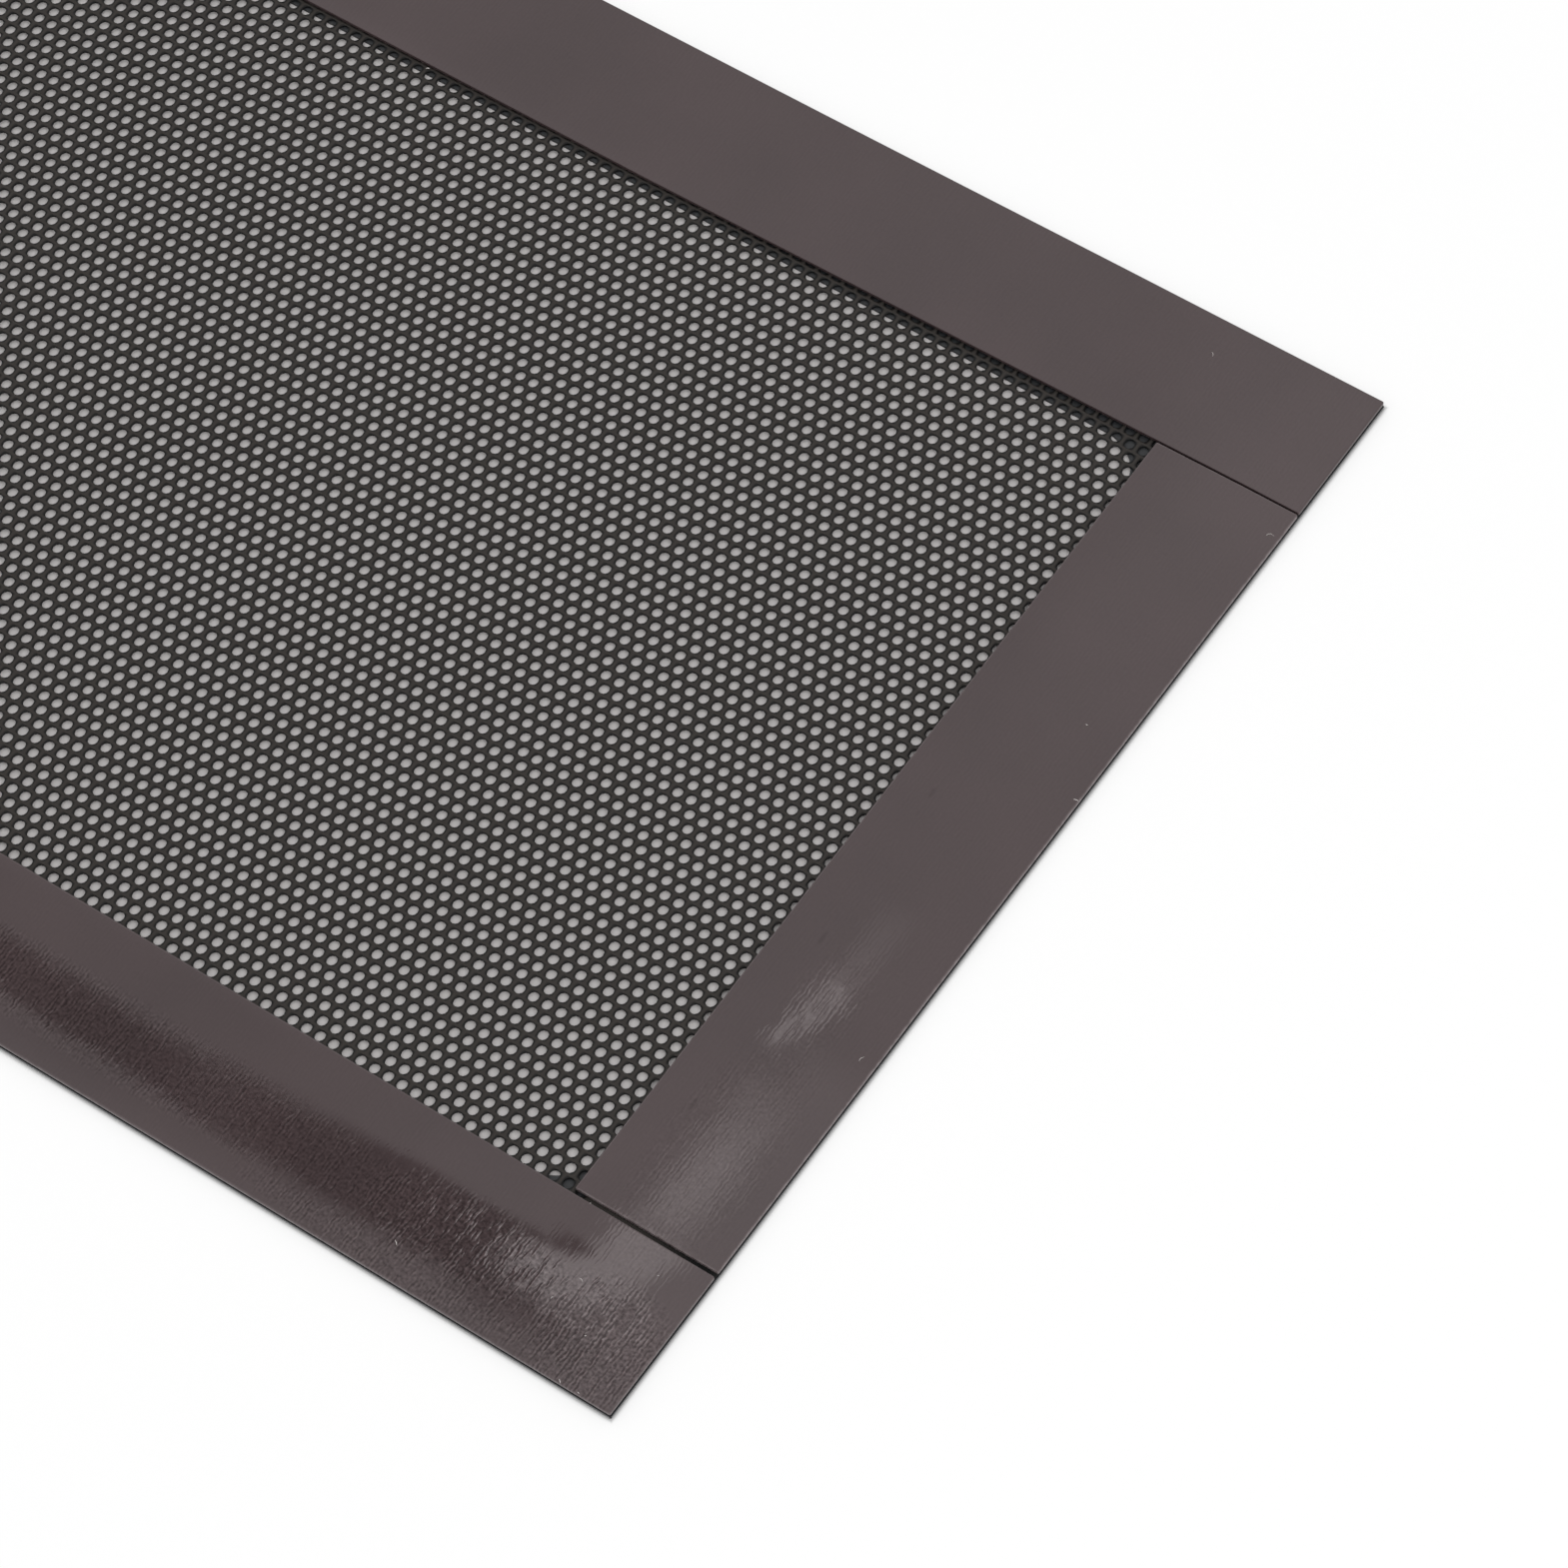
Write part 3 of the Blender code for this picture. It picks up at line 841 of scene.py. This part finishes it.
white_paper, tree, output = new_material("white_paper")
place = add_node(tree, "ShaderNodeTexCoord").outputs["Object"]
past = past_rectangle(place, packed_high[0], packed_high[1])
fibres = add_node(tree, "ShaderNodeTexNoise", {"Vector": place, "Scale": 1 / PAPER_GRAIN}).outputs["Fac"]
tone = add_node(tree, "ShaderNodeValToRGB", {"Fac": fibres})
tone.color_ramp.elements[0].color = linear("#fcfcfc")
tone.color_ramp.elements[1].color = linear("#fefefe")
# Painted shadow: the paper right beside the filter is darker than the shadow of the flat sheet makes it.
away = add_node(tree, "ShaderNodeMapRange", {"Value": past, "From Max": CONTACT_WIDTH}).outputs["Result"]
colours = {0: away, 6: linear("#b8b8b8"), 7: tone.outputs["Color"]}
paper_with_painted_shadow = add_node(tree, "ShaderNodeMix", colours, data_type="RGBA").outputs[2]
# Painted shade: under the filter the paper is a little darker and warmer, so it looks darker through the
# holes.
open_floor = add_node(tree, "ShaderNodeMath", {0: past, 1: 0.0}, operation="GREATER_THAN").outputs["Value"]
colours = {0: open_floor, 6: linear("#eeeae9"), 7: paper_with_painted_shadow}
paper_with_painted_shade = add_node(tree, "ShaderNodeMix", colours, data_type="RGBA").outputs[2]
paper = add_node(tree, "ShaderNodeBsdfDiffuse", {"Color": paper_with_painted_shade})
# The open floor is lifted towards plain white for the camera, as an overexposed backdrop is.
ends = {"From Min": LIFT_FROM, "From Max": LIFT_TO, "To Max": FLOOR_LIFT}
lift = add_node(tree, "ShaderNodeMapRange", {"Value": past, **ends}).outputs["Result"]
camera_ray = add_node(tree, "ShaderNodeLightPath").outputs["Is Camera Ray"]
seen_lift = add_node(tree, "ShaderNodeMath", {0: lift, 1: camera_ray}, operation="MULTIPLY").outputs["Value"]
white = add_node(tree, "ShaderNodeEmission", {"Color": WHITE, "Strength": 1.0})
shaders = {0: seen_lift, 1: paper.outputs["BSDF"], 2: white.outputs["Emission"]}
lifted = add_node(tree, "ShaderNodeMixShader", shaders)
tree.links.new(lifted.outputs["Shader"], output.inputs["Surface"])
print("made", white_paper.name)

# %% Floor
FLOOR_SIZE = 4.0
FLOOR_GAP = 0.01 * MM

reach = FLOOR_SIZE / 2 * np.array([[-1, -1], [1, -1], [1, 1], [-1, 1]])
floor_points = np.column_stack([reach, np.full(4, packed_low[2] - FLOOR_GAP)])
floor = piece_from_arrays("floor", floor_points, [np.array([[0, 1, 2, 3]])], white_paper)
print("floor", FLOOR_SIZE, "m wide")

# %% World and lamp
WORLD_LEVEL = 0.93
LAMP_SIZE = 0.7
LAMP_POWER = 2.2
LAMP_AT = Vector((1.0, -0.35, 0.85))

world = bpy.data.worlds.new("white_tent")
world.use_nodes = True
world.node_tree.nodes.clear()
sky = add_node(world.node_tree, "ShaderNodeOutputWorld")
light_path = add_node(world.node_tree, "ShaderNodeLightPath")
seen = add_node(
    world.node_tree,
    "ShaderNodeMath",
    {0: light_path.outputs["Is Camera Ray"], 1: light_path.outputs["Is Glossy Ray"]},
    operation="MAXIMUM",
)
level = add_node(
    world.node_tree,
    "ShaderNodeMapRange",
    {"Value": seen.outputs["Value"], "To Min": WORLD_LEVEL, "To Max": 1.0},
)
light = {"Color": WHITE, "Strength": level.outputs["Result"]}
white = add_node(world.node_tree, "ShaderNodeBackground", light)
world.node_tree.links.new(white.outputs["Background"], sky.inputs["Surface"])
bpy.context.scene.world = world

lamp = bpy.data.objects.new("right_softbox", bpy.data.lights.new("right_softbox", "AREA"))
lamp.data.shape = "SQUARE"
lamp.data.size = LAMP_SIZE
lamp.data.energy = LAMP_POWER
lamp.location = LAMP_AT
lamp.rotation_mode = "QUATERNION"
lamp.rotation_quaternion = (-LAMP_AT).to_track_quat("-Z", "Y")
bpy.context.scene.collection.objects.link(lamp)
print("lamp of", LAMP_POWER, "W on a world of", WORLD_LEVEL)


# %% Cards
DARK_CARD_HEIGHT = 60 * MM
LIT_CARD_HEIGHT = 57 * MM


def mirror_spots(spots, card_height):
    """Where the mirrored line of sight from each spot on the face reaches the card's height."""
    face = np.column_stack([np.array(spots) * MM, np.full(len(spots), packed_high[2])])
    from_camera = face - np.array(CAMERA_AT)
    climb = card_height / -from_camera[:, 2:]
    return np.column_stack([face[:, :2] + climb * from_camera[:, :2], np.full(len(spots), card_height)])


print("cards hang", DARK_CARD_HEIGHT / MM, "and", LIT_CARD_HEIGHT / MM, "mm above the filter's underside")


# %% One card
def card(name, card_height, strength, cover, spots):
    """A card that only glossy rays see. Each spot gives a point of its full core, and the point
    of its rim where it has faded to nothing, as they are mirrored on the face."""
    shade, tree, output = new_material(f"{name}_face")
    fade = add_node(tree, "ShaderNodeAttribute", attribute_name="fade").outputs["Fac"]
    glow = add_node(tree, "ShaderNodeEmission", {"Color": WHITE, "Strength": strength})
    clear = add_node(tree, "ShaderNodeBsdfTransparent")
    share = {0: fade, 1: clear.outputs["BSDF"], 2: glow.outputs["Emission"]}
    mixed = add_node(tree, "ShaderNodeMixShader", share)
    tree.links.new(mixed.outputs["Shader"], output.inputs["Surface"])
    spots = np.array(spots, dtype=float)
    count = len(spots)
    points = mirror_spots(np.concatenate([spots[:, :2], spots[:, 2:]]), card_height)
    core, following = np.arange(count), np.roll(np.arange(count), -1)
    ring = np.stack([core, following, following + count, core + count], axis=-1)
    made = piece_from_arrays(name, points, [core[None, :], ring], shade)
    covers = np.concatenate([np.full(count, cover), np.zeros(count)]).astype(np.float32)
    made.data.attributes.new("fade", "FLOAT", "POINT").data.foreach_set("value", covers)
    made.visible_camera = made.visible_diffuse = made.visible_shadow = False
    made.visible_transmission = made.visible_volume_scatter = False
    return made


# %% [markdown]
# Each row below is one spot of a card's outline on the face, in millimetres from the filter's
# middle: x and y of the core, then x and y of the rim. A narrow rim gives a sharp edge.

# %% Dark cards over the near and the far strip
card("long_shade", DARK_CARD_HEIGHT + MM, 0.0, 0.20, [
    (20, -46.5, 10, -44.0), (76, -46.5, 100, -44.0), (80, -58.5, 104, -61.0), (20, -58.5, 10, -61.0),
])
card("left_black_card", DARK_CARD_HEIGHT, 0.08, 0.84, [
    (20, -53.0, 10, -51.0), (50, -52.2, 50, -50.8), (62, -52.8, 62, -51.0), (72, -53.2, 82, -51.0),
    (72, -56.0, 82, -57.6), (62, -56.2, 62, -57.2), (52, -55.8, 52, -56.6), (20, -55.6, 10, -56.4),
])
card("right_black_card", DARK_CARD_HEIGHT - MM, 0.08, 0.86, [
    (80, -52.5, 72, -50.4), (88, -51.1, 86, -50.0), (94, -50.25, 94, -49.85), (100, -50.35, 100, -49.95),
    (107.6, -50.2, 107.0, -49.8), (108.4, -49.1, 107.5, -48.4), (109.7, -48.9, 110.2, -48.3),
    (109.9, -50.2, 110.3, -50.2), (109.3, -54.6, 111.0, -54.6), (108.6, -55.4, 114.5, -58.6),
    (104, -55.8, 106, -59.6), (98, -56.3, 98, -57.9), (88, -56.5, 86, -58.0), (80, -55.8, 72, -57.6),
])
card("far_shade", DARK_CARD_HEIGHT, 0.0, 0.10, [
    (-10, 46.0, -20, 44.0), (28, 46.0, 75, 44.0), (28, 59.0, 75, 62.0), (-10, 59.0, -20, 62.0),
])

# %% Lit cards over the corners and the right strip
card("lit_hook", LIT_CARD_HEIGHT, 2.2, 1.0, [
    (111.1, -44.85, 110.2, -44.8), (111.2, -49.4, 110.3, -49.3), (109.6, -50.8, 108.4, -50.2),
    (107.6, -51.4, 104.6, -50.5), (106.6, -52.6, 102.6, -52.6), (107.2, -54.0, 103.6, -56.2),
    (110.2, -53.9, 109.8, -56.2), (112.8, -52.6, 113.8, -54.2), (114.4, -50.8, 115.8, -51.8),
    (115.6, -48.0, 117.2, -48.0), (116.6, -44.85, 118.4, -44.8),
])
card("lit_side", LIT_CARD_HEIGHT + MM, 1.22, 1.0, [
    (117.0, -26.0, 113.0, -22.0), (121.0, -26.0, 124.0, -22.0), (121.0, -60.0, 124.0, -64.0),
    (117.0, -60.0, 113.0, -64.0),
])
card("lit_end", LIT_CARD_HEIGHT, 1.92, 1.0, [
    (113.9, -36.0, 111.8, -26.0), (115.6, -36.0, 116.8, -27.0), (115.6, -38.6, 118.0, -37.5),
    (114.4, -42.4, 116.8, -46.0), (113.0, -42.4, 110.6, -46.0), (113.3, -39.0, 110.9, -37.0),
])
card("lit_streak", LIT_CARD_HEIGHT, 2.4, 1.0, [
    (113.5, -17.4, 112.0, -15.0), (113.9, -17.4, 115.2, -15.0), (113.4, -19.6, 115.0, -19.2),
    (112.4, -22.4, 113.8, -22.8), (111.7, -24.0, 112.0, -26.0), (111.5, -23.8, 110.8, -25.2),
    (112.6, -21.0, 111.5, -20.4),
])
card("lit_trace", LIT_CARD_HEIGHT, 1.35, 1.0, [
    (113.6, -12.0, 112.0, -7.0), (114.2, -12.0, 115.8, -7.0), (114.1, -15.0, 115.6, -17.0),
    (113.4, -15.0, 112.0, -17.0),
])
card("lit_corner", LIT_CARD_HEIGHT + MM, 1.14, 1.0, [
    (115, 58.0, 100, 62.0), (122, 58.0, 126, 62.0), (122, 38.0, 126, 5.0), (112, 38.0, 108, 5.0),
])
